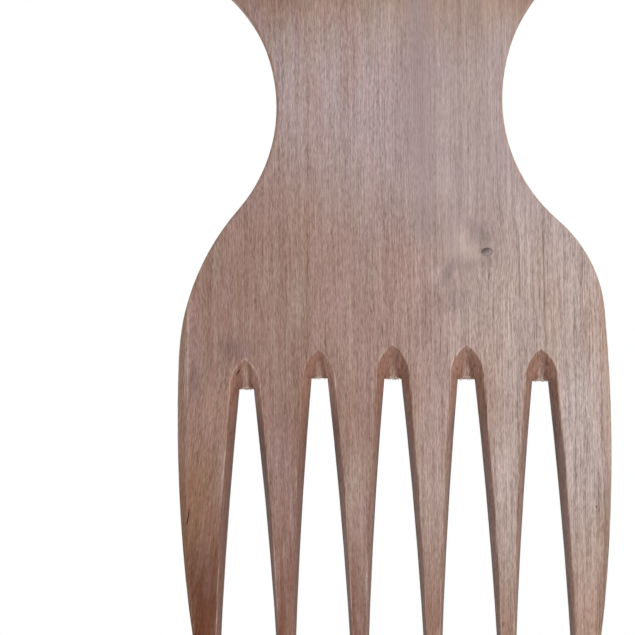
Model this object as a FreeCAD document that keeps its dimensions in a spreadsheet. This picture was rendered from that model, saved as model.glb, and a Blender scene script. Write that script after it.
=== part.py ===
"""Wooden afro pick: one carved board with a flared handle and six bevelled teeth, and the pin knot it holds.

The origin is the middle of the waist, where the pick is held. +Z runs up to the crown of the handle,
-Z down to the tooth tips, +X to the right, and the front face looks along -Y.
"""
import FreeCAD, Part
import math
import os
import re

import Sketcher
from FreeCAD import Vector

# Driving sizes in millimetres. Levels are heights measured from the waist, those below it counted downwards.
SIZES = {
    # Outline seen from the front: arcs that run into each other, from the crown down to the tips.
    "waist_width": 52.5,
    "body_width": 101.1,
    "crown_level": 51.5,
    "tip_level": 145.0,
    "widest_level": 78.2,
    "crown_radius": 78.0,
    "corner_radius": 7.0,
    "flare_radius_left": 37.0,
    "flare_radius_right": 40.6,
    "waist_radius_left": 36.2,
    "waist_radius_right": 37.0,
    "shoulder_radius_left": 57.0,
    "shoulder_radius_right": 32.0,
    "outer_edge_radius": 356.0,
    # Side profile: flat faces that thin in a long curve to the crown and to the tips.
    "board_thickness": 10.0,
    "crown_thickness": 7.6,
    "tip_thickness": 5.4,
    "flat_top_level": 24.0,
    "flat_bottom_level": 86.0,
    "nose_radius": 1.9,
    "edge_round": 0.8,
    # Teeth, and the gaps between them: a straight land in the middle of the board, bevelled to both faces.
    "tip_width": 2.8,
    "outer_tip_width": 2.6,
    "gap_land": 2.0,
    "gap_bevel_width": 1.75,
    "gap_bevel_tip_width": 0.6,
    "gap_flank_radius": 1270.0,
    "first_gap_widening": 0.85,
    "gullet_arch_radius": 8.4,
    "gullet_level_1": 66.2,
    "gullet_level_2": 63.9,
    "gullet_level_3": 64.2,
    "gullet_level_4": 64.5,
    "gullet_level_5": 65.1,
    "gullet_width_1": 3.5,
    "gullet_width_2": 3.8,
    "gullet_width_3": 3.95,
    "gullet_width_4": 4.0,
    "gullet_width_5": 3.8,
    "gullet_ramp_1": 7.2,
    "gullet_ramp_2": 6.9,
    "gullet_ramp_3": 8.1,
    "gullet_ramp_4": 8.1,
    "gullet_ramp_5": 7.6,
    # Bevel down the outside of the two outer teeth, which runs out on the shoulders.
    "outer_bevel_width": 1.85,
    "outer_bevel_start": 30.0,
    "outer_bevel_level": 76.0,
    "outer_bevel_radius": 600.0,
    "outer_land": 6.0,
    # The knot: the oval core of a small branch that slants as it goes in from the front face.
    "knot_offset": 22.2,
    "knot_level": 34.9,
    "knot_width": 2.7,
    "knot_height": 1.95,
    "knot_depth": 6.0,
    "knot_slant_across": 3.4,
    "knot_slant_down": 2.1,
    "knot_recess": 0.15,
    # How far cutting shapes reach past the wood, and rounded tips past the teeth they are cut from.
    "cut_reach": 4.0,
    "tip_reach": 0.07,
}
GAP_COUNT = sum(alias.startswith("gullet_level_") for alias in SIZES)
MIDDLE_GAP = (GAP_COUNT + 1) / 2
# A tip's round is drawn as a little under half a circle: its ends, as shares of its radius.
TIP_ARC_REACH = 0.98
TIP_ARC_DROP = math.sqrt(1 - TIP_ARC_REACH ** 2)
# How far a surface's normal leans towards the front: less than this on the rim's wall, more on a face.
EDGE_WALL_TILT = 0.001
FACE_TILT = 0.3

doc = FreeCAD.newDocument("afro_pick")
sheet = doc.addObject("Spreadsheet::Sheet", "Sizes")
for row, (alias, size) in enumerate(SIZES.items(), start=1):
    sheet.set(f"A{row}", alias)
    sheet.set(f"B{row}", str(size))
    sheet.setAlias(f"B{row}", alias)
doc.recompute()


def formula(text):
    """Spell out every size in a formula as a cell of the sheet."""
    return re.sub(r"[a-z]\w+", lambda word: f"Sizes.{word[0]}" if word[0] in SIZES else word[0], text)


def value(text):
    """The number that a formula gives with the sizes as they are."""
    return float(sheet.evalExpression(formula(text)))


def origin_plane(body, role):
    """One of the body's own three planes."""
    return next(feature for feature in body.Origin.OriginFeatures if feature.Role == role)


def new_sketch(body, name, plane_role, depth=None):
    """A sketch on one of the body's own planes, moved along the plane's normal by a formula."""
    sketch = body.newObject("Sketcher::SketchObject", name)
    sketch.AttachmentSupport = [(origin_plane(body, plane_role), "")]
    sketch.MapMode = "FlatFace"
    if depth:
        sketch.setExpression("AttachmentOffset.Base.z", formula(depth))
    return sketch


def bind(sketch, constraint, text):
    """Add a constraint whose size follows a formula."""
    index = sketch.addConstraint(constraint)
    sketch.setExpression(f"Constraints[{index}]", formula(text))


def pin(sketch, geometry, vertex, across, up):
    """Hold a vertex at a place given by two formulas."""
    for kind, text in (("DistanceX", across), ("DistanceY", up)):
        bind(sketch, Sketcher.Constraint(kind, -1, 1, geometry, vertex, value(text)), text)


def arc_about(centre, start, end, turn):
    """The arc from start to end about a centre, anticlockwise if turn is 1 and clockwise if it is -1."""
    first, last = (start, end) if turn > 0 else (end, start)
    angle_first = math.atan2(first.y - centre.y, first.x - centre.x)
    angle_last = math.atan2(last.y - centre.y, last.x - centre.x)
    if angle_last < angle_first:
        angle_last += 2 * math.pi
    circle = Part.Circle(centre, Vector(0, 0, 1), centre.distanceToPoint(first))
    return Part.ArcOfCircle(circle, angle_first, angle_last)


def arc_centre(start, end, radius, turn):
    """The centre of the short arc of a given radius between two points."""
    chord = end - start
    reach = math.sqrt(radius ** 2 - (chord.Length / 2) ** 2)
    to_left = Vector(-chord.y, chord.x, 0).normalize()
    return start + chord * 0.5 + to_left * (turn * reach)


def trace(sketch, corners, arcs=()):
    """Draw a closed profile through corners given as formulas.

    arcs says which edge, counted from the first corner, is a short arc: edge: (radius formula, turn).
    """
    arcs = dict(arcs)
    points = [Vector(value(across), value(up), 0) for across, up in corners]
    ends = []
    for edge, start in enumerate(points):
        end = points[(edge + 1) % len(points)]
        if edge in arcs:
            radius, turn = arcs[edge]
            curve = arc_about(arc_centre(start, end, value(radius), turn), start, end, turn)
            ends.append((sketch.addGeometry(curve), 1, 2) if turn > 0 else (sketch.addGeometry(curve), 2, 1))
        else:
            ends.append((sketch.addGeometry(Part.LineSegment(start, end)), 1, 2))
    for edge, (across, up) in enumerate(corners):
        geometry, first, _ = ends[edge]
        before, _, last = ends[edge - 1]
        sketch.addConstraint(Sketcher.Constraint("Coincident", before, last, geometry, first))
        pin(sketch, geometry, first, across, up)
    for edge, (radius, turn) in arcs.items():
        geometry = ends[edge][0]
        bind(sketch, Sketcher.Constraint("Radius", geometry, value(radius)), radius)


def mirrored_corners(right_half):
    """Continue a chain of corners from the middle round the left side."""
    left_half = [(f"0 - ( {across} )", up) for across, up in reversed(right_half)]
    return right_half + left_half


def ruled_cut(body, name, sections):
    """Cut away the straight-ruled shape that runs through a row of profiles."""
    before = body.Tip.Shape.Volume
    cut = body.newObject("PartDesign::SubtractiveLoft", name)
    cut.Profile = sections[0]
    cut.Sections = sections[1:]
    cut.Ruled = True
    doc.recompute()
    if cut.Shape.isNull() or cut.Shape.Volume >= before:
        raise RuntimeError(f"{name} removed nothing")
    return cut


def through_cut(body, name, sketch):
    """Cut a profile right through the board, front to back."""
    before = body.Tip.Shape.Volume
    cut = body.newObject("PartDesign::Pocket", name)
    cut.Profile = sketch
    cut.SideType = "Symmetric"
    cut.Type = "Length"
    cut.setExpression("Length", formula("2 * board_thickness"))
    doc.recompute()
    if cut.Shape.isNull() or cut.Shape.Volume >= before:
        raise RuntimeError(f"{name} removed nothing")
    return cut


def touching_centre(centre_a, distance_a, centre_b, distance_b, side):
    """The point at two given distances from two centres, on the left of the line a to b if side is 1."""
    line = centre_b - centre_a
    along = (distance_a ** 2 - distance_b ** 2 + line.Length ** 2) / (2 * line.Length)
    away = math.sqrt(distance_a ** 2 - along ** 2)
    unit = Vector(line).normalize()
    return centre_a + unit * along + Vector(-unit.y, unit.x, 0) * (side * away)


def toward(centre, other, distance):
    """The point at a distance from one centre in the direction of another point."""
    return centre + (other - centre).normalize() * distance


def side_arcs(side):
    """The arcs of one side of the outline, from the crown down, with the joints between them.

    side is 1 on the right and -1 on the left. Each arc is (centre, radius formula, hollow).
    """
    word = "right" if side > 0 else "left"
    flare, waist, shoulder = (f"{name}_radius_{word}" for name in ("flare", "waist", "shoulder"))
    half_waist = value("waist_width / 2")
    crown_centre = Vector(0, value("crown_level - crown_radius"), 0)
    flare_centre = Vector(side * (half_waist + value(flare)), 0, 0)
    waist_centre = Vector(side * (half_waist + value(waist)), 0, 0)
    outer_centre = Vector(side * value("body_width / 2 - outer_edge_radius"), -value("widest_level"), 0)
    corner_centre = touching_centre(
        crown_centre, value("crown_radius - corner_radius"),
        flare_centre, value(f"{flare} + corner_radius"), side)
    shoulder_centre = touching_centre(
        outer_centre, value(f"outer_edge_radius - {shoulder}"),
        waist_centre, value(f"{waist} + {shoulder}"), -side)
    arcs = [
        (corner_centre, "corner_radius", False),
        (flare_centre, flare, True),
        (waist_centre, waist, True),
        (shoulder_centre, shoulder, False),
        (outer_centre, "outer_edge_radius", False),
    ]
    bottom = -value("tip_level + cut_reach")
    rise = bottom + value("widest_level")
    joints = [
        toward(crown_centre, corner_centre, value("crown_radius")),
        toward(flare_centre, corner_centre, value(flare)),
        Vector(side * half_waist, 0, 0),
        toward(waist_centre, shoulder_centre, value(waist)),
        toward(outer_centre, shoulder_centre, value("outer_edge_radius")),
        Vector(outer_centre.x + side * math.sqrt(value("outer_edge_radius") ** 2 - rise ** 2), bottom, 0),
    ]
    return crown_centre, arcs, joints


def draw_outline(sketch):
    """The pick's outline as a chain of arcs, each running smoothly into the next."""
    chains = {}
    for side in (1, -1):
        crown_centre, arcs, joints = side_arcs(side)
        chains[side] = []
        for (centre, radius, hollow), start, end in zip(arcs, joints, joints[1:]):
            turn = side if hollow else -side
            geometry = sketch.addGeometry(arc_about(centre, start, end, turn))
            bind(sketch, Sketcher.Constraint("Radius", geometry, value(radius)), radius)
            chains[side].append((geometry, 1, 2) if turn > 0 else (geometry, 2, 1))
        for (upper, _, last), (lower, first, _) in zip(chains[side], chains[side][1:]):
            sketch.addConstraint(Sketcher.Constraint("Tangent", upper, last, lower, first))
        chains[side].append(joints)
    crown_left, crown_right = chains[-1][-1][0], chains[1][-1][0]
    crown = sketch.addGeometry(arc_about(crown_centre, crown_left, crown_right, -1))
    bind(sketch, Sketcher.Constraint("Radius", crown, value("crown_radius")), "crown_radius")
    sketch.addConstraint(Sketcher.Constraint("PointOnObject", crown, 3, -2))
    crown_height = "crown_level - crown_radius"
    bind(sketch, Sketcher.Constraint("DistanceY", -1, 1, crown, 3, value(crown_height)), crown_height)
    bottom = sketch.addGeometry(Part.LineSegment(chains[1][-1][-1], chains[-1][-1][-1]))
    for side, crown_end, bottom_end in ((1, 1, 1), (-1, 2, 2)):
        corner, flare, _, _, outer, _ = chains[side]
        sketch.addConstraint(Sketcher.Constraint("Tangent", crown, crown_end, corner[0], corner[1]))
        sketch.addConstraint(Sketcher.Constraint("Coincident", outer[0], outer[2], bottom, bottom_end))
        sketch.addConstraint(Sketcher.Constraint("PointOnObject", flare[0], 3, -1))
        sign = "" if side > 0 else "0 - "
        pin(sketch, flare[0], flare[2], f"{sign}waist_width / 2", "0")
        pin(sketch, outer[0], 3, f"{sign}( body_width / 2 - outer_edge_radius )", "0 - widest_level")
    sketch.addConstraint(Sketcher.Constraint("Horizontal", bottom))
    depth = "0 - tip_level - cut_reach"
    bind(sketch, Sketcher.Constraint("DistanceY", -1, 1, bottom, 1, value(depth)), depth)


def thinning_radius(level_from, level_to, thickness):
    """Formula for the radius of the long curve that takes a face from full thickness to a thinner end."""
    run = f"( {level_to} - {level_from} )"
    drop = f"( ( board_thickness - {thickness} ) / 2 )"
    return f"( ( {run} * {run} + {drop} * {drop} ) / ( 2 * {drop} ) )"


def draw_side_profile(sketch):
    """The board from the side: flat faces between a thinner crown and thin, round-nosed tips."""
    half = "( board_thickness / 2 )"
    top = "( crown_level + cut_reach )"
    bottom = "( tip_level + tip_reach )"
    crown_curve = thinning_radius("flat_top_level", "crown_level", "crown_thickness")
    tip_curve = thinning_radius("flat_bottom_level", "tip_level", "tip_thickness")
    crown_run = f"( {top} - flat_top_level )"
    top_half = f"{half} - {crown_curve} + sqrt( {crown_curve} * {crown_curve} - {crown_run} * {crown_run} )"
    nose_run = f"( {bottom} - nose_radius - flat_bottom_level )"
    inner_curve = f"( {tip_curve} - nose_radius )"
    nose_reach = f"sqrt( {inner_curve} * {inner_curve} - {nose_run} * {nose_run} )"
    back_half = [
        (top_half, top),
        (half, "flat_top_level"),
        (half, "0 - flat_bottom_level"),
        (f"{half} - {tip_curve} + {nose_reach} * {tip_curve} / {inner_curve}",
         f"0 - flat_bottom_level - {nose_run} * {tip_curve} / {inner_curve}"),
        (f"{half} - {tip_curve} + {nose_reach}", f"0 - {bottom}"),
    ]
    back_arcs = {0: crown_curve, 2: tip_curve, 3: "nose_radius"}
    corners = mirrored_corners(back_half)
    arcs = {}
    for edge, radius in back_arcs.items():
        arcs[edge] = (radius, -1)
        arcs[len(corners) - 2 - edge] = (radius, -1)
    trace(sketch, corners, arcs)


def edge_at(half_width, radius, widest, level):
    """Formula for the distance out to a long edge curve at a level below the waist."""
    run = f"( {level} - {widest} )"
    return f"{half_width} - {radius} + sqrt( {radius} * {radius} - {run} * {run} )"


def tips_half_span():
    """Formula for half the width of the pick at the tips."""
    return f"( {edge_at('( body_width / 2 )', 'outer_edge_radius', 'widest_level', 'tip_level')} )"


def gap_pitch():
    """Formula for the step from gap to gap that spreads the teeth evenly between the outer edges."""
    return f"( ( 2 * {tips_half_span()} - 2 * outer_tip_width + tip_width ) / {GAP_COUNT} )"


def half_mouth_width():
    """Formula for half the width of a gap at the tips."""
    return f"( ( {gap_pitch()} - tip_width ) / 2 )"


def gap_middle(gap):
    """Formula for the distance of a gap's middle line from the pick's own."""
    return f"{gap_pitch()} * ( {gap} - {MIDDLE_GAP} )"


def mouth_left(gap):
    """Formula for a gap's left side at the tips. The first gap leans out towards the left outer tooth."""
    widening = "first_gap_widening" if gap == 1 else "0"
    return f"( {gap_middle(gap)} - {half_mouth_width()} - {widening} )"


def mouth_right(gap):
    """Formula for a gap's right side at the tips."""
    return f"( {gap_middle(gap)} + {half_mouth_width()} )"


def gap_section(body, gap, name, depth, gullet_bevel, mouth_bevel, ramp):
    """One profile across a gap, wider than its land by the bevels.

    ramp is how far its top rises above the gullet edge in a pointed arch.
    """
    sketch = new_sketch(body, f"Gap{gap}{name}", "XZ_Plane", depth)
    middle = gap_middle(gap)
    gullet = f"gullet_level_{gap}"
    half_gullet = f"( gullet_width_{gap} / 2 + {gullet_bevel} )"
    corners = [
        (middle, f"{ramp} - {gullet}"),
        (f"{middle} + {half_gullet}", f"0 - {gullet}"),
        (f"{mouth_right(gap)} + {mouth_bevel}", "0 - tip_level"),
        (f"{mouth_left(gap)} - {mouth_bevel}", "0 - tip_level"),
        (f"{middle} - {half_gullet}", f"0 - {gullet}"),
    ]
    arcs = {1: ("gap_flank_radius", -1), 3: ("gap_flank_radius", -1)}
    if ramp != "0":
        arcs.update({0: ("gullet_arch_radius", -1), 4: ("gullet_arch_radius", -1)})
    trace(sketch, corners, arcs)
    return sketch


def cut_gap(body, gap):
    """One gap: a land in mid-thickness, flanks bevelled to both faces and a ramp up from the gullet edge."""
    face = ("gap_bevel_width", "gap_bevel_tip_width", f"gullet_ramp_{gap}")
    land = ("0", "0", "0")
    sections = [
        gap_section(body, gap, "FrontFace", "board_thickness / 2", *face),
        gap_section(body, gap, "FrontLand", "gap_land / 2", *land),
        gap_section(body, gap, "BackLand", "0 - gap_land / 2", *land),
        gap_section(body, gap, "BackFace", "0 - board_thickness / 2", *face),
    ]
    ruled_cut(body, f"Gap{gap}", sections)


def bevel_overshoot():
    """Formula for how far the outer bevel, carried on to mid-thickness, stands outside the wood."""
    return "outer_bevel_width * outer_land / ( board_thickness - outer_land )"


def outer_bevel_section(body, name, depth, half_width, radius, widest):
    """One profile of the wood that the bevel takes off outside the right outer tooth."""
    sketch = new_sketch(body, f"OuterBevel{name}", "XZ_Plane", depth)
    start, end = "outer_bevel_start", "( tip_level + cut_reach )"
    clear = f"body_width / 2 + {bevel_overshoot()} + cut_reach"
    corners = [
        (edge_at(half_width, radius, widest, start), f"0 - {start}"),
        (clear, f"0 - {start}"),
        (clear, f"0 - {end}"),
        (edge_at(half_width, radius, widest, end), f"0 - {end}"),
    ]
    trace(sketch, corners, {3: (radius, 1)})
    return sketch


def cut_outer_bevels(body):
    """Bevel both outer edges from each face down to a land in mid-thickness."""
    face = ("( body_width / 2 - outer_bevel_width )", "outer_bevel_radius", "outer_bevel_level")
    middle = (f"( body_width / 2 + {bevel_overshoot()} )", "outer_edge_radius", "widest_level")
    sections = [
        outer_bevel_section(body, "Front", "board_thickness / 2", *face),
        outer_bevel_section(body, "Middle", "0", *middle),
        outer_bevel_section(body, "Back", "0 - board_thickness / 2", *face),
    ]
    right = ruled_cut(body, "OuterBevelRight", sections)
    both = body.newObject("PartDesign::Mirrored", "OuterBevels")
    both.Originals = [right]
    both.MirrorPlane = (origin_plane(body, "YZ_Plane"), [""])
    body.Tip = both
    doc.recompute()
    if both.Shape.Volume >= right.Shape.Volume:
        raise RuntimeError("the left outer bevel removed nothing")


def cut_tips(body):
    """Round each tooth's tip, seen from the front, to the width that the gaps beside it leave."""
    teeth = []
    for tooth in range(GAP_COUNT + 1):
        left = mouth_right(tooth) if tooth else f"( 0 - {tips_half_span()} )"
        right = mouth_left(tooth + 1) if tooth < GAP_COUNT else tips_half_span()
        teeth.append((f"( {left} + {right} ) / 2", f"( ( {right} - {left} ) / 2 + tip_reach )"))
    corners = []
    arcs = {}
    for middle, radius in teeth:
        level = f"{radius} * ( 1 - {TIP_ARC_DROP} ) - tip_level"
        arcs[len(corners)] = (radius, 1)
        corners.append((f"{middle} - {radius} * {TIP_ARC_REACH}", level))
        corners.append((f"{middle} + {radius} * {TIP_ARC_REACH}", level))
    clear = "( body_width / 2 + cut_reach )"
    below = "0 - tip_level - cut_reach"
    corners += [
        (clear, corners[-1][1]),
        (clear, below),
        (f"0 - {clear}", below),
        (f"0 - {clear}", corners[0][1]),
    ]
    sketch = new_sketch(body, "TipRounds", "XZ_Plane")
    trace(sketch, corners, arcs)
    through_cut(body, "Tips", sketch)


def knot_oval(body):
    """The oval of the knot on the front face."""
    sketch = new_sketch(body, "KnotOval", "XZ_Plane", "board_thickness / 2")
    centre = Vector(value("knot_offset"), -value("knot_level"), 0)
    long_end = centre + Vector(value("knot_width / 2"), 0, 0)
    short_end = centre + Vector(0, value("knot_height / 2"), 0)
    oval = sketch.addGeometry(Part.Ellipse(long_end, short_end, centre))
    sketch.exposeInternalGeometry(oval)
    long_axis, short_axis = oval + 1, oval + 2
    sketch.addConstraint(Sketcher.Constraint("Horizontal", long_axis))
    pin(sketch, oval, 3, "knot_offset", "0 - knot_level")
    bind(sketch, Sketcher.Constraint("Distance", long_axis, value("knot_width")), "knot_width")
    bind(sketch, Sketcher.Constraint("Distance", short_axis, value("knot_height")), "knot_height")
    return sketch


def along_branch(body, kind, name):
    """A pad or pocket that carries the knot's oval into the board along the slant of its branch."""
    sketch = knot_oval(body)
    doc.recompute()
    feature = body.newObject(kind, name)
    feature.Profile = sketch
    feature.UseCustomVector = True
    feature.AlongSketchNormal = True
    for axis, text in (("x", "0 - knot_slant_across"), ("y", "knot_depth"), ("z", "0 - knot_slant_down")):
        feature.setExpression(f"Direction.{axis}", formula(text))
    feature.setExpression("Length", formula("knot_depth"))
    doc.recompute()
    return feature


def round_rim(body):
    """Ease the rim of the board, where its edge meets the front and back faces."""
    base = body.Tip
    rim = []
    for number, edge in enumerate(base.Shape.Edges, start=1):
        middle = edge.valueAt((edge.FirstParameter + edge.LastParameter) / 2)
        tilts = []
        for face in base.Shape.ancestorsOfType(edge, Part.Face):
            normal = face.normalAt(*face.Surface.parameter(middle))
            tilts.append(abs(normal.y))
        if min(tilts) < EDGE_WALL_TILT and max(tilts) > FACE_TILT:
            rim.append(f"Edge{number}")
    fillet = body.newObject("PartDesign::Fillet", "RimRound")
    fillet.Base = (base, rim)
    fillet.setExpression("Radius", formula("edge_round"))
    doc.recompute()


def make_blank():
    """The board: side profile, outline, eased rim, bevels, gaps, tips and the hole that the knot fills."""
    body = doc.addObject("PartDesign::Body", "pick_blank")
    side = new_sketch(body, "SideProfile", "YZ_Plane")
    draw_side_profile(side)
    board = body.newObject("PartDesign::Pad", "Board")
    board.Profile = side
    board.SideType = "Symmetric"
    board.setExpression("Length", formula("body_width + 2 * cut_reach"))
    doc.recompute()
    outline = new_sketch(body, "Outline", "XZ_Plane")
    clear = "( body_width / 2 + 2 * cut_reach )"
    top = "crown_level + 2 * cut_reach"
    bottom = "0 - tip_level - 2 * cut_reach"
    trace(outline, [(clear, top), (clear, bottom), (f"0 - {clear}", bottom), (f"0 - {clear}", top)])
    draw_outline(outline)
    through_cut(body, "SawnOutline", outline)
    round_rim(body)
    cut_outer_bevels(body)
    for gap in range(1, GAP_COUNT + 1):
        cut_gap(body, gap)
    cut_tips(body)
    before = body.Tip.Shape.Volume
    hole = along_branch(body, "PartDesign::Pocket", "KnotHole")
    if hole.Shape.Volume >= before:
        raise RuntimeError("the knot's hole removed nothing")
    return body


def make_knot():
    """The knot: it fills its hole, and its face lies a little below the front face of the board."""
    body = doc.addObject("PartDesign::Body", "pin_knot")
    core = along_branch(body, "PartDesign::Pad", "Core")
    trim = new_sketch(body, "Recess", "XZ_Plane", "board_thickness / 2")
    sides = [("knot_offset + knot_width", "knot_height"), ("knot_offset + knot_width", "0 - knot_height"),
             ("knot_offset - knot_width", "0 - knot_height"), ("knot_offset - knot_width", "knot_height")]
    trace(trim, [(across, f"{up} - knot_level") for across, up in sides])
    recess = body.newObject("PartDesign::Pocket", "FaceTrim")
    recess.Profile = trim
    recess.setExpression("Length", formula("knot_recess"))
    doc.recompute()
    if recess.Shape.Volume >= core.Shape.Volume:
        raise RuntimeError("the knot's face was not trimmed")
    return body


pieces = [make_blank(), make_knot()]
doc.recompute()
for item in doc.Objects:
    if "Invalid" in item.State or "Error" in item.State:
        raise RuntimeError(f"{item.Name} failed: {item.State}")
for piece in pieces:
    if piece.Shape.isNull() or not piece.Shape.isValid() or len(piece.Shape.Solids) != 1:
        raise RuntimeError(f"{piece.Label} is not one valid solid")

os.makedirs("parts", exist_ok=True)
for piece in pieces:
    piece.Shape.exportStep(f"parts/{piece.Label}.step")
    box = piece.Shape.optimalBoundingBox()
    print(f"{piece.Label}: {box.XLength:.1f} x {box.YLength:.1f} x {box.ZLength:.1f} mm,"
          f" {piece.Shape.Volume:.0f} cubic mm")
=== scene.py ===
# %% [markdown]
# # A carved wooden afro pick
# The pick is one flat board of straight-grained wood: a flared handle, a narrow waist, round shoulders and
# six long teeth. The measured model brings the sizes. This lesson gives it softened edges, torn fibres
# where the saw came out, and a wood that is mixed from noise. Meshes are in metres and the wood's masks in
# millimetres. The front face looks along -Y, and the teeth point down.

# %% Load the measured model
import math
import random

import bmesh
import bpy
from mathutils import Matrix, Quaternion, Vector
from mathutils.bvhtree import BVHTree


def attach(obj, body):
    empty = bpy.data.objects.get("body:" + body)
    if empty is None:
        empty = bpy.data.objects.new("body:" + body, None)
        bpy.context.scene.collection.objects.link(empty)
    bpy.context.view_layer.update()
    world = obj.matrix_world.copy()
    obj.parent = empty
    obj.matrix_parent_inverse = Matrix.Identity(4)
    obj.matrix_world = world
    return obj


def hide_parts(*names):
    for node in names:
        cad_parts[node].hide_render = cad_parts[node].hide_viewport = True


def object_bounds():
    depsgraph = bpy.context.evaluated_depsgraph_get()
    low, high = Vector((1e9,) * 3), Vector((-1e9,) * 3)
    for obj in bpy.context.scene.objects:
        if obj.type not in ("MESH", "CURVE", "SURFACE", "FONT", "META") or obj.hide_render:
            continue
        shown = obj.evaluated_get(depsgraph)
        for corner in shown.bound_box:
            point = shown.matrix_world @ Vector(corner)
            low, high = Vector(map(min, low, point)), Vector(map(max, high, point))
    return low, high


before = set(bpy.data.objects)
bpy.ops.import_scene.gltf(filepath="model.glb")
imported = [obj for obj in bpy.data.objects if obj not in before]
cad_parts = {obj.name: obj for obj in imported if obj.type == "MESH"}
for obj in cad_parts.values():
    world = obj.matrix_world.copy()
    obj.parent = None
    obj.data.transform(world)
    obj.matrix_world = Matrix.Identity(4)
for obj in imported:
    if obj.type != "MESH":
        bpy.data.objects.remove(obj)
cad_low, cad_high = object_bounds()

MM = 0.001
print("measured model:", [round(size / MM, 1) for size in cad_high - cad_low], "mm")

# %% [markdown]
# ## The camera
# A camera can be placed by eye, but the photograph gives its own numbers: how many pixels one millimetre of
# the front face takes, and how strongly the far edges of the gaps shrink, which gives the distance. The
# lens stands in front of the pick's middle line and looks a little to the left of it, and the pick leans.

# %% Camera
PHOTO_PIXELS = 635
PIXELS_PER_MM = 4.3
VIEW_DISTANCE = 428 * MM
PICK_LEAN = math.radians(0.77)
CENTRE_ACROSS = -17.3 * MM
CENTRE_UP = -49.6 * MM

image_centre = Vector((CENTRE_ACROSS, cad_low.y, CENTRE_UP))
lens_place = Vector((0, cad_low.y - VIEW_DISTANCE, CENTRE_UP))
aim = image_centre - lens_place
half_view = PHOTO_PIXELS / PIXELS_PER_MM / 2 * MM
camera_data = bpy.data.cameras.new("photo_camera")
camera_data.lens = camera_data.sensor_width / 2 * aim.length / half_view
camera = bpy.data.objects.new("photo_camera", camera_data)
camera.location = lens_place
camera.rotation_mode = "QUATERNION"
camera.rotation_quaternion = aim.to_track_quat("-Z", "Y") @ Quaternion((0, 0, 1), -PICK_LEAN)
bpy.context.scene.collection.objects.link(camera)
bpy.context.scene.camera = camera
bpy.context.scene.view_settings.view_transform = "Standard"
print(f"lens {camera_data.lens:.1f} mm, {aim.length / MM:.0f} mm from the front face")

# %% [markdown]
# ## Shader maths as Python
# A material is a graph of nodes. Wired one link at a time, a sum of three masks takes a dozen lines, so one
# small class wraps a socket: its operators add Math nodes, and one method adds any other node with its
# settings first.

# %% A wire that can be added and multiplied
class Wire:
    """One output socket of a material. Python's operators on it add the Math nodes."""

    def __init__(self, tree, socket=None):
        self.tree = tree
        self.socket = socket

    def node(self, kind, settings, sockets, output=0):
        """Add a node of any type: its settings first, then the values or links of its sockets."""
        node = self.tree.nodes.new(kind)
        for name, setting in settings.items():
            setattr(node, name, setting)
        for name, given in sockets.items():
            if isinstance(given, Wire):
                self.tree.links.new(given.socket, node.inputs[name])
            else:
                node.inputs[name].default_value = given
        return Wire(self.tree, node.outputs[output] if node.outputs else None)

    def math(self, operation, *terms):
        """Add a Math node on wires or plain numbers."""
        return self.node("ShaderNodeMath", {"operation": operation}, dict(enumerate(terms)))

    def __add__(self, other):
        return self.math("ADD", self, other)

    def __sub__(self, other):
        return self.math("SUBTRACT", self, other)

    def __rsub__(self, other):
        return self.math("SUBTRACT", other, self)

    def __mul__(self, other):
        return self.math("MULTIPLY", self, other)

    def __truediv__(self, other):
        return self.math("DIVIDE", self, other)

    def __rpow__(self, base):
        return self.math("POWER", base, self)

    def __abs__(self):
        return self.math("ABSOLUTE", self)

    __radd__ = __add__
    __rmul__ = __mul__


# %% Helpers for colours and masks
def shade(red, green, blue):
    """A colour as a picture shows it, 0 to 255, in the linear light that shaders use."""
    def linear(level):
        share = level / 255
        return share / 12.92 if share <= 0.04045 else ((share + 0.055) / 1.055) ** 2.4
    return (linear(red), linear(green), linear(blue), 1.0)


def ease(value, low, high):
    """0 at low, 1 at high, and a smooth slope between them."""
    return value.node("ShaderNodeMapRange", {"interpolation_type": "SMOOTHSTEP"},
                      {"Value": value, "From Min": low, "From Max": high})


def tint(factor, below, above):
    """One colour where the factor is 0, the other where it is 1."""
    return factor.node("ShaderNodeMix", {"data_type": "RGBA"}, {0: factor, 6: below, 7: above}, 2)


def new_finish(name):
    """An empty material, and a loose wire to add its first node with."""
    material = bpy.data.materials.new(name)
    material.use_nodes = True
    material.node_tree.nodes.clear()
    return material, Wire(material.node_tree)


def close_finish(surface):
    """Send a shader to the material's output."""
    surface.node("ShaderNodeOutputMaterial", {}, {"Surface": surface})


print(f"a grey of 128 in a picture is {shade(128, 128, 128)[0]:.2f} of full light in a shader")

# %% [markdown]
# ## The studio
# A white background could come from bright lamps, but those would bleach the wood. Here rays from the
# camera see plain white, while the wood is lit by a soft world and large lamps at a plain level. Near the
# pick the floor stays a real pale surface, so that it keeps the shadow.

# %% World
def background_seen(wire):
    """1 for rays that show the background: seen directly, in a reflection or through glass."""
    ray_kinds = ("Is Camera Ray", "Is Glossy Ray", "Is Transmission Ray")
    direct, mirrored, through = (wire.node("ShaderNodeLightPath", {}, {}, kind) for kind in ray_kinds)
    return wire.math("MINIMUM", direct + mirrored + through, 1.0)


PURE_WHITE = (1, 1, 1, 1)
WORLD_LIGHT = 0.5
world = bpy.data.worlds.new("studio")
world.use_nodes = True
world.node_tree.nodes.clear()
sky = Wire(world.node_tree)
brightness = background_seen(sky) * (1 - WORLD_LIGHT) + WORLD_LIGHT
background = sky.node("ShaderNodeBackground", {}, {"Color": PURE_WHITE, "Strength": brightness})
background.node("ShaderNodeOutputWorld", {}, {"Surface": background})
bpy.context.scene.world = world
print("the world lights the pick at", WORLD_LIGHT, "and looks white")

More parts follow.
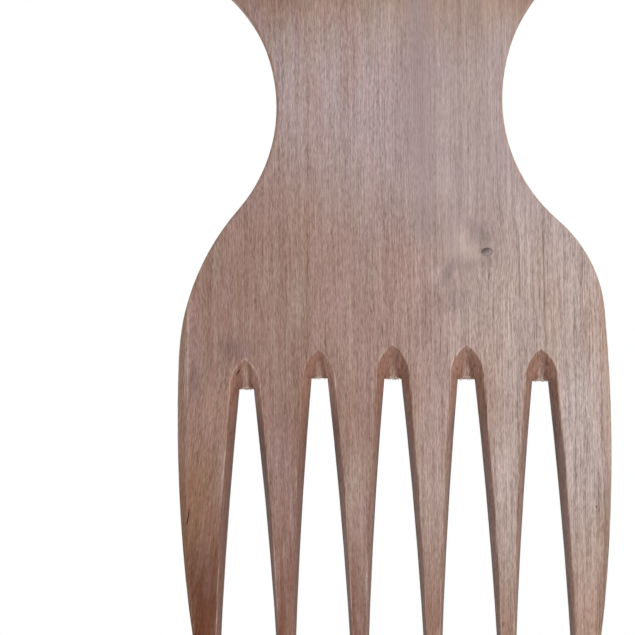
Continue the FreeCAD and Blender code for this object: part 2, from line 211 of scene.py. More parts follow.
# %% Floor
FLOOR_SIZE = 4.0
FLOOR_PALE = shade(250, 250, 249)
SHADOW_REACH, WHITE_FROM = 0.06, 0.12
paper, paper_wire = new_finish("floor_paper")
spot = paper_wire.node("ShaderNodeTexCoord", {}, {}, "Object")
distance = paper_wire.node("ShaderNodeVectorMath", {"operation": "LENGTH"}, {0: spot}, "Value")
matte = paper_wire.node("ShaderNodeBsdfDiffuse", {}, {"Color": FLOOR_PALE})
glow = paper_wire.node("ShaderNodeEmission", {}, {"Color": PURE_WHITE, "Strength": 1.0})
far_and_seen = ease(distance, SHADOW_REACH, WHITE_FROM) * background_seen(paper_wire)
close_finish(paper_wire.node("ShaderNodeMixShader", {}, {0: far_and_seen, 1: matte, 2: glow}))

sheet = bmesh.new()
bmesh.ops.create_grid(sheet, x_segments=1, y_segments=1, size=FLOOR_SIZE / 2)
floor_mesh = bpy.data.meshes.new("floor")
sheet.to_mesh(floor_mesh)
sheet.free()
floor = bpy.data.objects.new("floor", floor_mesh)
floor.location.z = cad_low.z
floor_mesh.materials.append(paper)
bpy.context.scene.collection.objects.link(floor)
print("floor at", round(cad_low.z / MM, 1), "mm")


# %% Lamps
def soft_lamp(name, place, size, watts):
    """A square lamp that faces the middle of the pick."""
    lamp = bpy.data.lights.new(name, "AREA")
    lamp.size = size
    lamp.energy = watts
    holder = bpy.data.objects.new(name, lamp)
    holder.location = place
    holder.rotation_mode = "QUATERNION"
    holder.rotation_quaternion = ((cad_low + cad_high) / 2 - holder.location).to_track_quat("-Z", "Y")
    bpy.context.scene.collection.objects.link(holder)


soft_lamp("window", place=Vector((0.8, -0.8, 0.7)), size=0.7, watts=10.5)
soft_lamp("ceiling", place=Vector((0.2, 0.1, 1.3)), size=1.0, watts=4.0)

# %% [markdown]
# ## The wood: where the grain runs
# Real grain is straight until it meets a knot, which it flows round, and it leans in the left outer tooth.
# A picture of wood would need an unwrapped mesh and would not reach the cut faces. Noise in three
# dimensions does: stretched along the grain, it comes out right on every face that the saw opened.

# %% Places on the board, in millimetres
wood, wire = new_finish("pick_wood")
place = wire.node("ShaderNodeTexCoord", {}, {}, "Object")
across, depth, height = (
    wire.node("ShaderNodeSeparateXYZ", {}, {"Vector": place}, axis) / MM for axis in "XYZ")


def soft_spot(x, z, half_width, half_height):
    """1 at a point of the board, fading out about a half width and a half height away."""
    side = (across - x) / half_width
    rise = (height - z) / half_height
    return math.e ** (0 - side * side - rise * rise)


def soft_line(top, bottom, half_width, fade=1.0):
    """1 on a line down the board from one (x, z) to another, soft on its sides and ends."""
    slope = (bottom[0] - top[0]) / (bottom[1] - top[1])
    side = (across - top[0] - (height - top[1]) * slope) / half_width
    upper_end = ease(height, top[1] + fade, top[1] - fade)
    lower_end = ease(height, bottom[1] - fade, bottom[1] + fade)
    return math.e ** (0 - side * side) * (upper_end * lower_end)


print("masks reach from", round(cad_low.z / MM), "to", round(cad_high.z / MM), "mm up the board")

# %% The grain bends round the knot and leans in the left tooth
KNOT_ACROSS, KNOT_UP = 22.2, -34.9
KNOT_BEND = 0.7
LEAN_STARTS = -58
LEAN_SLOPE = 0.13
WAVE_SCALE = 22.0

knot_pull = soft_spot(KNOT_ACROSS, KNOT_UP, 4.5, 7.0)
tooth_lean = ease(across, -26, -40) * wire.math("MINIMUM", height - LEAN_STARTS, 0) * LEAN_SLOPE
wave = wire.node("ShaderNodeTexNoise", {}, {"Vector": place, "Scale": WAVE_SCALE, "Detail": 1.0}) - 0.5
grain_across = across - (across - KNOT_ACROSS) * knot_pull * KNOT_BEND - tooth_lean + wave
print(f"knot at {KNOT_ACROSS:.1f}, {KNOT_UP:.1f} mm")


# %% Fibres and vessels
def fibres(width, length, detail=2.0, shift=0.0, flatness=1.0):
    """Noise drawn out along the grain, about -0.3 to 0.3; flat fibres are wider in depth than across."""
    stretched = wire.node("ShaderNodeCombineXYZ", {}, {
        "X": grain_across / width + shift, "Y": depth / (width * flatness), "Z": height / length})
    noise = wire.node("ShaderNodeTexNoise", {}, {
        "Vector": stretched, "Scale": 1.0, "Detail": detail, "Roughness": 0.55})
    return noise - 0.5


fleck = fibres(0.22, 1.4, flatness=4)
hair = fibres(0.22, 11, detail=1.5, flatness=4)
thread = fibres(0.5, 30, flatness=4)
strand = fibres(1.0, 55, shift=40, flatness=2)
hue = fibres(2.8, 18)
band = fibres(3.2, 90)
cloud = fibres(13, 70)
vessels = ease(fibres(0.2, 20, detail=1.0, shift=90, flatness=4), 0.06, 0.16)
print("wood nodes with fibres:", len(wood.node_tree.nodes))

# %% Pores
PORE_SPACING, PORE_LENGTH = 1.4, 9.0
PORE_EDGE, PORE_CORE = 0.13, 0.04
pore_grid = wire.node("ShaderNodeCombineXYZ", {}, {
    "X": grain_across / PORE_SPACING, "Y": depth / PORE_SPACING, "Z": height / PORE_LENGTH})
pore_reach = wire.node("ShaderNodeTexVoronoi", {}, {"Vector": pore_grid, "Scale": 1.0}, "Distance")
pores = ease(pore_reach, PORE_EDGE, PORE_CORE)
print("wood nodes with pores:", len(wood.node_tree.nodes))

# %% [markdown]
# ## The wood: its colours
# The face is a dry grey-brown, browner to the left. Its paler, greyer right side and handle are partly the
# wood and partly painted sheen; its browner top and tips are painted shade, redder low on the left. Each of
# these is a mask times a colour, so that they can be tuned one at a time against the photograph. Slow noise
# then mixes in lilac, tan, olive and pink, as in any dry wood.

# %% Face colour by region
LEFT_BROWN = shade(149, 118, 107)
MIDDLE_TAN = shade(164, 136, 128)
RIGHT_PALE_SHEEN = shade(179, 160, 153)
HANDLE_GREY_SHEEN = shade(168, 150, 150)
TOP_SHADE_BROWN = shade(134, 100, 82)
TOP_SHADE_TAN = shade(170, 143, 126)
LOW_LEFT_SHADE = shade(104, 56, 33)
LOW_RIGHT_SHADE = shade(167, 136, 120)
TEETH_WIDTH = 94

# Partly painted sheen: the face grows paler and greyer from left to right.
left_to_middle = ease(across, -36, 4)
middle_to_right = ease(across, -4, 34)
# Partly painted sheen: the handle turns greyer.
handle_sheen = ease(height + cloud * 20 + across * 0.2, -40, -2)
# Painted shade: the top strip turns browner where the sheen ends.
top_shade = ease(height + cloud * 24 + thread * 16, 8, 30)
# Painted shade: the tips turn darker, and redder on the left.
tip_shade = ease(height + cloud * 16 + across * 0.15, -92, -124)
top_shade_wood = tint(ease(across, -32, 30), TOP_SHADE_BROWN, TOP_SHADE_TAN)
low_shade_wood = tint(across / TEETH_WIDTH + 0.5, LOW_LEFT_SHADE, LOW_RIGHT_SHADE)
face = tint(left_to_middle, LEFT_BROWN, MIDDLE_TAN)
face = tint(middle_to_right, face, RIGHT_PALE_SHEEN)
face = tint(handle_sheen * 0.85, face, HANDLE_GREY_SHEEN)
face = tint(top_shade, face, top_shade_wood)
face = tint(tip_shade, face, low_shade_wood)
print("wood nodes with regions:", len(wood.node_tree.nodes))

# %% Brown patches, mottling and a painted shade on both faces
ROOT_BROWN = shade(136, 100, 85)
LOW_RED = shade(122, 67, 47)
LILAC_GREY = shade(153, 132, 132)
WARM_TAN = shade(172, 138, 120)
OLIVE = shade(160, 141, 127)
PINK = shade(166, 135, 131)

right_side = ease(across, -20, 30)
hue_share = 0.5 - right_side * 0.35
PATCHES = [
    (soft_spot(-22, -80, 13, 18), ROOT_BROWN, 0.75),
    (soft_spot(-9, -72, 6, 8), ROOT_BROWN, 0.3),
    (soft_spot(-26, -72, 6, 6), ROOT_BROWN, 0.35),
    # Painted shade with a reddish cast on the low end of the second tooth.
    (soft_spot(-20, -118, 11, 14), LOW_RED, 0.7),
    (ease(cloud, 0.02, 0.22), LILAC_GREY, 0.4),
    (ease(cloud, -0.02, -0.22), WARM_TAN, 0.35),
    (ease(hue, 0.0, 0.22), OLIVE, hue_share),
    (ease(hue, 0.0, -0.22), PINK, hue_share),
]
for mask, patch, strength in PATCHES:
    face = tint(mask * strength, face, patch)
print(len(PATCHES), "kinds of patch")

# %% [markdown]
# ## The wood: marks of its growth
# Some marks are this board's own: a purple streak down the handle, grey stains about the knot, dark pore
# lines and warm patches on the outer teeth. Others are painted light: painted shade in the handle's top
# right corner and on the low left teeth, and a painted highlight on the left outer ridge. Painted on a
# picture they would need an image file. Here each is a soft spot or line at a place on the front face, and
# the back keeps plain wood.

# %% Colours of the stains and of painted light
WARM_ORANGE = shade(140, 102, 76)
STAIN_GREY = shade(139, 121, 119)
STAIN_MAUVE = shade(128, 102, 99)
OLIVE_GREY = shade(142, 127, 120)
PALE_PINK = shade(196, 176, 165)
PALE_LILAC = shade(196, 180, 176)
PALE_OLIVE = shade(184, 167, 157)
TIP_BROWN = shade(88, 50, 34)
PORE_BROWN = shade(98, 76, 68)

front = ease(depth, -0.6, -1.8)


def paint_stains_and_light(colour, marks):
    """Lay stains and painted light over a colour on the front face: for each its mask, its own colour and
    its strength.
    """
    for mask, mark, strength in marks:
        colour = tint(mask * front * strength, colour, mark)
    return colour


print("the front face lies at", round(cad_low.y / MM, 1), "mm")

# %% Stains of the handle with a painted shade, and round the knot
purple_streak = soft_line((6.3, 40), (7.9, -31), 2.6, 5)
HANDLE_STAINS_AND_SHADE = [
    (purple_streak, LILAC_GREY, 0.75),
    (soft_line((-1.0, 24), (-1.0, -18), 3.6, 7), PALE_LILAC, 0.2),
    (soft_spot(0.0, 21.0, 6.0, 6.0), PALE_LILAC, 0.1),
    (soft_spot(17.5, 2.0, 6.5, 16.0), PALE_OLIVE, 0.35),
    # Painted shade: the handle's top right corner is browner where the sheen ends.
    (soft_spot(32.0, 25.0, 5.5, 6.0), TOP_SHADE_BROWN, 0.6),
]
KNOT_STAINS = [
    (soft_spot(20.0, -29.6, 3.0, 2.8), LILAC_GREY, 0.75),
    (soft_spot(21.5, -31.8, 1.8, 2.5), OLIVE_GREY, 0.75),
    (soft_spot(21.6, -37.6, 1.7, 1.6), OLIVE_GREY, 0.55),
    (soft_line((21.2, -39.5), (20.4, -47.0), 0.35, 1.5), PORE_BROWN, 0.25),
    (soft_line((29.5, -31.0), (29.7, -46.0), 0.2, 2.0), PORE_BROWN, 0.35),
    (soft_spot(16.4, -32.0, 1.4, 3.2), PALE_PINK, 0.7),
    (soft_spot(18.2, -34.8, 1.8, 1.8), PALE_PINK, 0.55),
    (soft_spot(10.9, -40.6, 1.3, 2.2), PALE_PINK, 0.55),
    (soft_spot(17.6, -38.0, 2.6, 1.3), STAIN_GREY, 0.4),
    (soft_line((14.6, -36.2), (12.6, -41.5), 0.9, 1.2), STAIN_GREY, 0.7),
    (soft_spot(12.7, -40.6, 1.3, 2.8), STAIN_GREY, 0.7),
    (soft_spot(14.2, -46.2, 2.6, 3.0), STAIN_GREY, 0.5),
    (soft_line((27.2, -40.0), (27.4, -60.0), 1.2, 3), PALE_PINK, 0.5),
    (soft_line((8.5, -43.0), (8.6, -56.0), 1.4, 3), STAIN_MAUVE, 0.3),
    (soft_spot(12.0, -20.0, 12.0, 7.0), PALE_LILAC, 0.14),
]
face = paint_stains_and_light(face, HANDLE_STAINS_AND_SHADE + KNOT_STAINS)
print(len(HANDLE_STAINS_AND_SHADE), "stains in the handle,", len(KNOT_STAINS), "round the knot")

# %% Stains and painted light on the teeth
TOOTH_STAINS_AND_PAINTED_LIGHT = [
    (soft_spot(-8.0, -86.0, 4.0, 8.0), PALE_PINK, 0.15),
    (soft_spot(9.6, -80.0, 4.0, 14.0), PALE_PINK, 0.08),
    (soft_spot(25.5, -71.0, 5.0, 6.0), MIDDLE_TAN, 0.3),
    (soft_spot(25.5, -87.0, 5.0, 9.0), PALE_LILAC, 0.35),
    (soft_spot(43.5, -87.0, 5.0, 8.0), PALE_LILAC, 0.3),
    (soft_spot(43.0, -70.0, 5.5, 9.0), PALE_LILAC, 0.75),
    (soft_spot(44.5, -103.0, 5.0, 8.0), WARM_TAN, 0.22),
    (soft_spot(48.0, -118.0, 5.0, 15.0), WARM_TAN, 0.5),
    # Painted shade, reddish, on the low ends of the two left teeth.
    (soft_spot(-45.0, -108.0, 7.0, 13.0), TIP_BROWN, 0.47),
    (soft_line((-24.5, -98.0), (-25.0, -130.0), 0.8, 8), LOW_RED, 0.4),
    (soft_spot(-41.0, -70.0, 4.0, 6.0), WARM_TAN, 0.4),
    # Painted highlight along the left outer ridge.
    (soft_line((-47.5, -45.0), (-47.9, -72.0), 0.22, 5), PALE_PINK, 0.35),
    (soft_spot(-36.8, -56.6, 3.8, 2.8), STAIN_MAUVE, 0.65),
    (soft_spot(-46.0, -64.6, 1.3, 4.6), STAIN_MAUVE, 0.7),
    (soft_spot(-46.5, -92.0, 5.2, 15.0), WARM_ORANGE, 0.75),
]
face = paint_stains_and_light(face, TOOTH_STAINS_AND_PAINTED_LIGHT)
print(len(TOOTH_STAINS_AND_PAINTED_LIGHT), "stains on the teeth")

# %% Dark pore lines
PORE_LINES = [
    soft_line((35.1, -30.0), (35.5, -57.6), 0.13, 4),
    soft_line((-15.6, -53.5), (-15.4, -58.5), 0.18),
    soft_line((-2.4, -51.0), (-2.2, -54.8), 0.18),
    soft_line((-45.7, -81.0), (-45.9, -83.4), 0.2),
]
pore_lines = PORE_LINES[0]
for line in PORE_LINES[1:]:
    pore_lines = wire.math("MAXIMUM", pore_lines, line)
face = paint_stains_and_light(face, [(pore_lines, PORE_BROWN, 0.6)])
print(len(PORE_LINES), "pore lines")

# %% [markdown]
# ## The wood: cut faces and edges
# The saw left the tooth flanks and the ramps above the gullets bare, without the polish of the face, so
# they are browner; their darker tone is partly painted shade, deepest inside the gaps. The rim colour is
# painted shade on the right and low down and painted light on the upper left, and the sharp edges carry a
# pale painted highlight. Masks from the way a face looks would do, but numbers that the mesh carries on its
# own faces are surer.

# %% Ramps and flanks
GAP_PITCH = 17.21
RAMP_BROWN = shade(149, 109, 92)
RAMP_CREASE_HIGHLIGHT = shade(208, 180, 166)
RAMP_SHADE = shade(132, 94, 79)
FLANK_DEEP_SHADE = shade(114, 85, 74)
FLANK_FRONT = shade(146, 113, 99)
FLANK_LEFT_SHADE = shade(108, 68, 52)
FLANK_LIT_PALE = shade(188, 152, 138)


def carried(name):
    """A number that the board's mesh carries on its faces."""
    return wire.node("ShaderNodeAttribute", {"attribute_name": name}, {}, "Fac")


from_middle = (wire.math("FRACT", across / GAP_PITCH + 0.5) - 0.5) * GAP_PITCH
# Painted highlight down the crease in the middle of each ramp.
crease_highlight = ease(abs(from_middle), 1.1, 0.1) * ease(height, -58.5, -63.5)
ramp_shadow = ease(from_middle, -1.2, 2.2) * (0.3 + right_side * 0.7)
ramp_share = 0.65 + ease(height, -56, -61) * 0.25
ramp_wood = tint(ramp_shadow, RAMP_BROWN, RAMP_SHADE)
ramp_wood = tint(crease_highlight * 0.75, ramp_wood, RAMP_CREASE_HIGHLIGHT)
colour = tint(carried("ramp") * ramp_share, face, ramp_wood)

# Painted shade: the flanks darken deeper in the gaps, and darker and redder in the left gaps.
near_faces = ease(abs(depth), 1.0, 4.4)
left_gaps = ease(across, 4, -36)
flank_top = ease(height, -78, -65)
# Painted light on the upper flanks of the left gaps.
lit_flank = ease(from_middle, 1.0, 2.2) * ease(across, 0, -14) * ease(height, -75, -64)
flank_wood = tint(near_faces, FLANK_DEEP_SHADE, FLANK_FRONT)
flank_wood = tint(left_gaps * 0.65, flank_wood, FLANK_LEFT_SHADE)
flank_wood = tint(flank_top, flank_wood, RAMP_BROWN)
flank_wood = tint(lit_flank * 0.85, flank_wood, FLANK_LIT_PALE)
colour = tint(carried("flank") * 0.85, colour, flank_wood)
print("wood nodes with cut faces:", len(wood.node_tree.nodes))

# %% Rim light and shade, edge highlights and pit shade
LEFT_RIM_LIT = shade(166, 132, 114)
LOW_LEFT_RIM_SHADE = shade(139, 98, 74)
RIGHT_RIM_SHADE = shade(157, 131, 117)
LOW_RIGHT_RIM_SHADE = shade(128, 104, 88)
EDGE_HIGHLIGHT_PALE = shade(203, 179, 166)
PIT_SHADE_DARK = shade(92, 60, 45)

rim = carried("rim")
# Painted light on the upper left rim, painted shade on the right rim and on both rims low down.
left_rim_wood = tint(ease(height, -72, -92), LEFT_RIM_LIT, LOW_LEFT_RIM_SHADE)
right_rim_wood = tint(ease(height, -74, -98), RIGHT_RIM_SHADE, LOW_RIGHT_RIM_SHADE)
rim_light_and_shade = tint(ease(across, -30, 30), left_rim_wood, right_rim_wood)
colour = tint(rim * 0.65, colour, rim_light_and_shade)
# Painted shade: a strip inside the right edge takes the right rim's shaded colour.
right_edge_shade = ease(across, 47.7, 48.5) * ease(height, -88, -76) * ease(height, -36, -48)
colour = tint(right_edge_shade * (1 - rim) * 0.6, colour, RIGHT_RIM_SHADE)
EDGE_STAINS_AND_SHADE = [
    (soft_spot(47.9, -99.0, 1.0, 4.5), WARM_ORANGE, 0.5),
    # Painted shade along the lower right edge.
    (soft_line((48.8, -104.0), (46.2, -138.0), 0.9, 6), LOW_RIGHT_RIM_SHADE, 0.6),
    # Painted shade under the left edge of the first arch.
    (soft_line((-35.2, -59.0), (-37.2, -68.5), 0.45, 2.5), FLANK_DEEP_SHADE, 0.5),
]
colour = paint_stains_and_light(colour, EDGE_STAINS_AND_SHADE)
# Painted highlight along the softened edges.
colour = tint(carried("edge_highlight") * ease(thread, -0.15, 0.2) * 0.45, colour, EDGE_HIGHLIGHT_PALE)
# Painted shade inside the pits, the slit and the pinhole.
colour = tint(carried("pit") * 0.85, colour, PIT_SHADE_DARK)
print(len(EDGE_STAINS_AND_SHADE), "stains along the edges")

# %% [markdown]
# ## The wood: tone and relief
# In the photograph a dark fibre takes about as much from red as from green and blue. Scaling the colour
# would take most from red, so a part of the tone is added as grey. The fibres are calmer in the handle, in
# its purple streak and about the knot, and stronger to the right. The same noise makes a low relief.

# %% Tone of the grain
FLECK_TONE = 1.35
BAND_TONE = 0.35
PORE_TONE = 0.22
SCALED_SHARE = 0.55
ONE_THIRD = 0.33

quiet_handle = ease(across, -14, 16) * ease(height, -34, -14)
knot_calm = soft_spot(17, -33, 8, 9) * 0.55
lively = (1 - quiet_handle * 0.4) * (1 - knot_calm) * (1 - purple_streak * 0.4)
long_fibres = (hair * 0.9 + thread * 0.45 + strand * 0.45) * (0.75 + right_side * 0.4)
vessel_tone = (0.04 + right_side * 0.15) * lively * (1 - knot_pull)
grain_tone = (fleck * FLECK_TONE + long_fibres) * lively + band * BAND_TONE
grain_tone = grain_tone - pores * PORE_TONE - vessels * vessel_tone

scaled = wire.node("ShaderNodeVectorMath", {"operation": "SCALE"}, {
    0: colour, "Scale": 1 + grain_tone * SCALED_SHARE})
lightness = wire.node("ShaderNodeVectorMath", {"operation": "DOT_PRODUCT"}, {
    0: colour, 1: (ONE_THIRD,) * 3}, "Value")
grey_tone = grain_tone * lightness * (1 - SCALED_SHARE)
grey = wire.node("ShaderNodeCombineXYZ", {}, dict.fromkeys("XYZ", grey_tone))
colour = wire.node("ShaderNodeVectorMath", {"operation": "ADD"}, {0: scaled, 1: grey})
print("wood nodes with tone:", len(wood.node_tree.nodes))

# %% Relief and shader
RELIEF_DEPTH = 0.12 * MM
relief = fleck * 0.4 + hair * 0.6 + thread * 0.4 - pores * 0.8 - vessels * 0.3 - pore_lines * front
bumped = wire.node("ShaderNodeBump", {}, {"Strength": 0.5, "Distance": RELIEF_DEPTH, "Height": relief})
close_finish(wire.node("ShaderNodeBsdfPrincipled", {}, {
    "Base Color": colour, "Roughness": 0.6 + hair * 0.2, "Normal": bumped, "Specular IOR Level": 0.22}))
print("wood nodes in all:", len(wood.node_tree.nodes))

# %% [markdown]
# ## The board
# The measured solid has razor edges where the gaps meet the faces. Sandpaper rounded the real ones by about
# a quarter of a millimetre. A Bevel modifier would round every edge of the fine facets too, so a copy is
# merged, its flat facets are dissolved, and only the edges of the gaps and of the outer bevels are
# bevelled.

# %% A merged copy of the measured board
MERGE_REACH = 0.002 * MM
FLAT_WITHIN = math.radians(0.6)
board = bmesh.new()
board.from_mesh(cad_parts["pick_blank"].data)
bmesh.ops.remove_doubles(board, verts=board.verts, dist=MERGE_REACH)
facet_count = len(board.faces)
bmesh.ops.dissolve_limit(board, angle_limit=FLAT_WITHIN, verts=board.verts, edges=board.edges)
board.normal_update()
print("facets:", facet_count, "before,", len(board.faces), "after the flat ones are joined")


# %% Softened tooth edges
EDGE_SOFTENING = 0.25 * MM
TOOTH_ZONE = (-142 * MM, -52 * MM)
FACE_FLATNESS = 0.985
CUT_FLATNESS = 0.93


def is_tooth_edge(edge):
    """True where a gap or an outer bevel meets the front or back face."""
    level = (edge.verts[0].co.z + edge.verts[1].co.z) / 2
    if len(edge.link_faces) != 2 or not TOOTH_ZONE[0] < level < TOOTH_ZONE[1]:
        return False
    steep, flat = sorted(abs(side.normal.y) for side in edge.link_faces)
    return flat > FACE_FLATNESS and steep < CUT_FLATNESS


tooth_edges = [edge for edge in board.edges if is_tooth_edge(edge)]
# This layer marks where the wood shader paints a pale highlight.
highlight_layer = board.loops.layers.float.new("edge_highlight")
softened = bmesh.ops.bevel(board, geom=tooth_edges, offset=EDGE_SOFTENING, offset_type="OFFSET", segments=2,
                           profile=0.5, affect="EDGES", clamp_overlap=False, loop_slide=False, material=-1)
board.normal_update()
print(len(tooth_edges), "edges softened,", len(board.faces), "faces")

# %% Painted highlight on the softened edges
OUTER_TEETH = 42 * MM
RIDGE_FADE = -72 * MM
RIDGE_HIGHLIGHT = 0.3


def faces_outwards(side, middle):
    """True on the outer side of the two outer teeth."""
    return abs(middle.x) > OUTER_TEETH and side.normal.x * middle.x > 0


# Each softened strip carries a painted highlight, weaker on the low outer ridges.
for strip in softened["faces"]:
    middle = strip.calc_center_median()
    on_low_ridge = faces_outwards(strip, middle) and middle.z < RIDGE_FADE
    for corner in strip.loops:
        corner[highlight_layer] = RIDGE_HIGHLIGHT if on_low_ridge else 1.0
print(len(softened["faces"]), "worn strips")

# %% [markdown]
# ## Small damage
# The board has a torn pit beside the first gullet, a drying slit on the left tooth and a pinhole on the
# right one. Painted dark, they would vanish in a side light. A Boolean with thin balls cuts them into the
# face, and a number on the balls' own faces tells the wood shader where to paint shade in them. The balls
# are removed afterwards.

# %% Balls for the pits
# Each has its place (across, up) and half sizes (across, deep, up) in millimetres, and its turn in degrees.
PITS = {
    "torn pit": ((-36.1, -62.2), (0.45, 0.22, 1.2), 13),
    "drying slit": ((-48.15, -95.9), (0.15, 0.45, 2.1), 10),
    "pinhole": ((46.7, -94.2), (0.12, 0.3, 0.32), 0),
}
RAY_LEAD = 10 * MM
board.loops.layers.float.new("pit")
surface = BVHTree.FromBMesh(board)
pit_balls = bmesh.new()
for (x, z), half_sizes, turn in PITS.values():
    ray_start = Vector((x * MM, cad_low.y - RAY_LEAD, z * MM))
    touched = surface.ray_cast(ray_start, Vector((0, 1, 0)))[0]
    stretch = Matrix.Diagonal((*(half * MM for half in half_sizes), 1))
    stand = Matrix.Translation(touched) @ Matrix.Rotation(math.radians(turn), 4, "Y") @ stretch
    bmesh.ops.create_icosphere(pit_balls, subdivisions=2, radius=1.0, matrix=stand)
pit_mark = pit_balls.loops.layers.float.new("pit")
for side in pit_balls.faces:
    for corner in side.loops:
        corner[pit_mark] = 1.0
print("balls for:", ", ".join(PITS))


# %% Cut the pits
def brief_object(name, shell):
    """An object that is only needed while the pits are cut."""
    holder = bpy.data.objects.new(name, bpy.data.meshes.new(name))
    shell.to_mesh(holder.data)
    bpy.context.scene.collection.objects.link(holder)
    return holder


uncut = brief_object("uncut_board", board)
balls = brief_object("pit_balls", pit_balls)
pit_balls.free()
cut = uncut.modifiers.new("pits", "BOOLEAN")
cut.operation = "DIFFERENCE"
cut.solver = "EXACT"
cut.object = balls
board.clear()
board.from_object(uncut, bpy.context.evaluated_depsgraph_get())
for spare in (uncut, balls):
    spare_mesh = spare.data
    bpy.data.objects.remove(spare)
    bpy.data.meshes.remove(spare_mesh)

# The Boolean can drop a sliver with three corners, which is filled again.
lost_slivers = [edge for edge in board.edges if len(edge.link_faces) == 1]
bmesh.ops.holes_fill(board, edges=lost_slivers, sides=3)
open_edges = sum(len(edge.link_faces) != 2 for edge in board.edges)
print(len(PITS), "pits cut,", len(board.faces), "faces,", open_edges, "open edges")

# %% Which faces are cut, and which are rim
RAMP_ZONE = -66.5 * MM
BROAD_FLATNESS = 0.96
cut_layers = {name: board.loops.layers.float.new(name) for name in ("ramp", "flank", "rim")}
board.normal_update()
cut_counts = dict.fromkeys(cut_layers, 0)
for side in board.faces:
    middle = side.calc_center_median()
    if abs(side.normal.y) > BROAD_FLATNESS:
        continue
    if faces_outwards(side, middle) or middle.z > TOOTH_ZONE[1]:
        kind = "rim"
    elif middle.z > RAMP_ZONE and abs(side.normal.z) > abs(side.normal.x):
        kind = "ramp"
    else:
        kind = "flank"
    cut_counts[kind] += 1
    for corner in side.loops:
        corner[cut_layers[kind]] = 1.0
print(cut_counts)


# %% From bmesh to a piece
def finish_piece(shell, name, material):
    """Turn a bmesh into an object at the origin that rides on the pick."""
    mesh = bpy.data.meshes.new(name)
    shell.to_mesh(mesh)
    shell.free()
    for spare in ("custom_normal", "sharp_face"):
        if spare in mesh.attributes:
            mesh.attributes.remove(mesh.attributes[spare])
    mesh.shade_smooth()
    mesh.materials.clear()
    mesh.materials.append(material)
    piece = bpy.data.objects.new(name, mesh)
    bpy.context.scene.collection.objects.link(piece)
    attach(piece, "root")
    return piece


SHARP_FROM = math.radians(34)
pick_board = finish_piece(board, "pick_board", wood)
pick_board.data.set_sharp_from_angle(angle=SHARP_FROM)
flatten = pick_board.modifiers.new("flat_faces_stay_flat", "WEIGHTED_NORMAL")
flatten.keep_sharp = True
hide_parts("pick_blank")
print(pick_board.name, len(pick_board.data.polygons), "faces")

# %% [markdown]
# ## Torn fibres
# Where the saw came out at the top of each gap, it tore the grain, and pale ends of fibre hang from the
# edge. Hair particles would be lost in the export, so each fibre is a small four-sided cone, thin at its
# free end.

# %% Fibres along the gullet edges
# Sizes here are in millimetres. Each gullet has its depth below the origin and its width at half thickness.
GULLETS = [(66.2, 3.5), (63.9, 3.8), (64.2, 3.95), (64.5, 4.0), (65.1, 3.8)]
MIDDLE_GAP = 2
HALF_LAND = 1.0
RAMP_SLOPE = 0.52
FIBRES_PER_EDGE = 46
FIBRE_LENGTHS = (0.5, 0.95)
ROOT_CLIMBS = (0.4, 0.8)
ROOT_SPREAD = 0.98
SIDE_LEAN = 0.25
INWARD_LEANS = (0.3, 0.55)
ROOT_RADII = (0.07, 0.14)
END_RADIUS = 0.03
draw = random.Random(7)
burr = bmesh.new()
for gap, (level, width) in enumerate(GULLETS):
    gap_middle = GAP_PITCH * (gap - MIDDLE_GAP)
    for land_side in (-1, 1):
        for _ in range(FIBRES_PER_EDGE):
            length = draw.uniform(*FIBRE_LENGTHS)
            climb = draw.uniform(*ROOT_CLIMBS)
            root = Vector((gap_middle + width / 2 * draw.uniform(-ROOT_SPREAD, ROOT_SPREAD),
                           land_side * (HALF_LAND + climb * RAMP_SLOPE), climb - level))
            hang = Vector((draw.gauss(0, SIDE_LEAN), -land_side * draw.uniform(*INWARD_LEANS), -1))
            hang.normalize()
            turn = hang.to_track_quat("Z", "Y").to_matrix().to_4x4()
            stand = Matrix.Translation((root + hang * length / 2) * MM) @ turn
            bmesh.ops.create_cone(burr, cap_ends=True, segments=4, radius1=draw.uniform(*ROOT_RADII) * MM,
                                  radius2=END_RADIUS * MM, depth=length * MM, matrix=stand)
print(len(GULLETS) * 2 * FIBRES_PER_EDGE, "fibres")

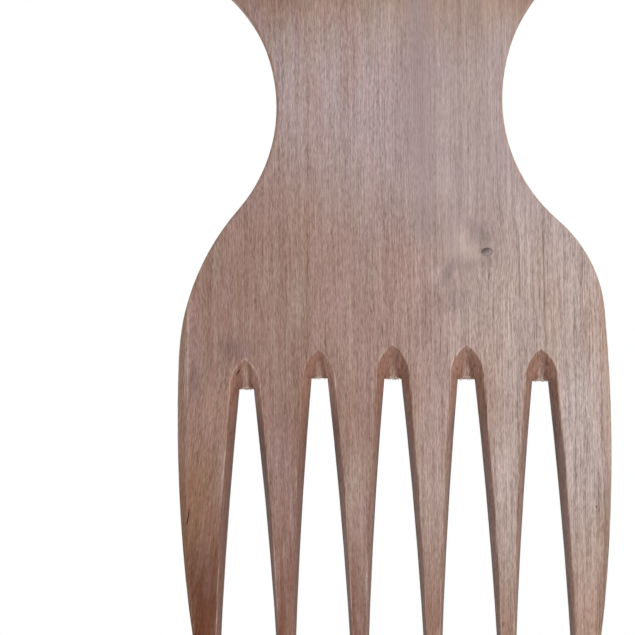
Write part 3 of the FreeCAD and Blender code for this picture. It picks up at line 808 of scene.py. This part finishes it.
# %% Fibre finish
FIBRE_TAN = shade(202, 178, 166)
FIBRE_PALE = shade(238, 222, 212)
torn_wood, fibre_wire = new_finish("torn_fibre")
fibre_place = fibre_wire.node("ShaderNodeTexCoord", {}, {}, "Object")
mottle = fibre_wire.node("ShaderNodeTexNoise", {}, {"Vector": fibre_place, "Scale": 2500.0, "Detail": 1.0})
fibre_colour = tint(ease(mottle, 0.3, 0.7), FIBRE_TAN, FIBRE_PALE)
close_finish(fibre_wire.node("ShaderNodeBsdfPrincipled", {}, {
    "Base Color": fibre_colour, "Roughness": 0.8}))
gullet_fibres = finish_piece(burr, "gullet_fibres", torn_wood)
print(gullet_fibres.name, len(gullet_fibres.data.polygons), "faces")

# %% [markdown]
# ## The knot
# The knot is the dead core of a thin branch. It keeps its measured solid, and its wood is grey, with a
# painted shadow along the upper left edge of its recess and faint rings round its middle.

# %% Knot finish
KNOT_HALF_WIDTH, KNOT_HALF_HEIGHT = 1.35, 0.98
KNOT_GREY = shade(150, 137, 134)
RECESS_SHADOW_DARK = shade(90, 75, 69)
RING_BROWN = shade(108, 94, 89)
KNOT_RIM = shade(106, 89, 83)

knot_wood, knot_wire = new_finish("knot_wood")
knot_place = knot_wire.node("ShaderNodeTexCoord", {}, {}, "Object")
knot_x, knot_z = (
    knot_wire.node("ShaderNodeSeparateXYZ", {}, {"Vector": knot_place}, axis) / MM for axis in "XZ")
side = (knot_x - KNOT_ACROSS) / KNOT_HALF_WIDTH
rise = (knot_z - KNOT_UP) / KNOT_HALF_HEIGHT
reach = knot_wire.math("SQRT", side * side + rise * rise)
speckle = knot_wire.node("ShaderNodeTexNoise", {}, {"Vector": knot_place, "Scale": 1800.0, "Detail": 2.0})
rings = knot_wire.math("SINE", reach * 16 + speckle * 5) * 0.5 + 0.5
# Painted shadow along the upper left edge of the knot's recess.
recess_shadow = ease(rise * 0.9 - side * 0.8 + speckle * 1.2, 0.0, 1.4)
knot_colour = tint(recess_shadow, KNOT_GREY, RECESS_SHADOW_DARK)
knot_colour = tint(rings * 0.25, knot_colour, RING_BROWN)
knot_colour = tint(ease(reach, 0.8, 1.05), knot_colour, KNOT_RIM)
close_finish(knot_wire.node("ShaderNodeBsdfPrincipled", {}, {"Base Color": knot_colour, "Roughness": 0.7}))
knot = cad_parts["pin_knot"]
knot.data.materials.clear()
knot.data.materials.append(knot_wood)
print(knot.name, "keeps its measured solid")
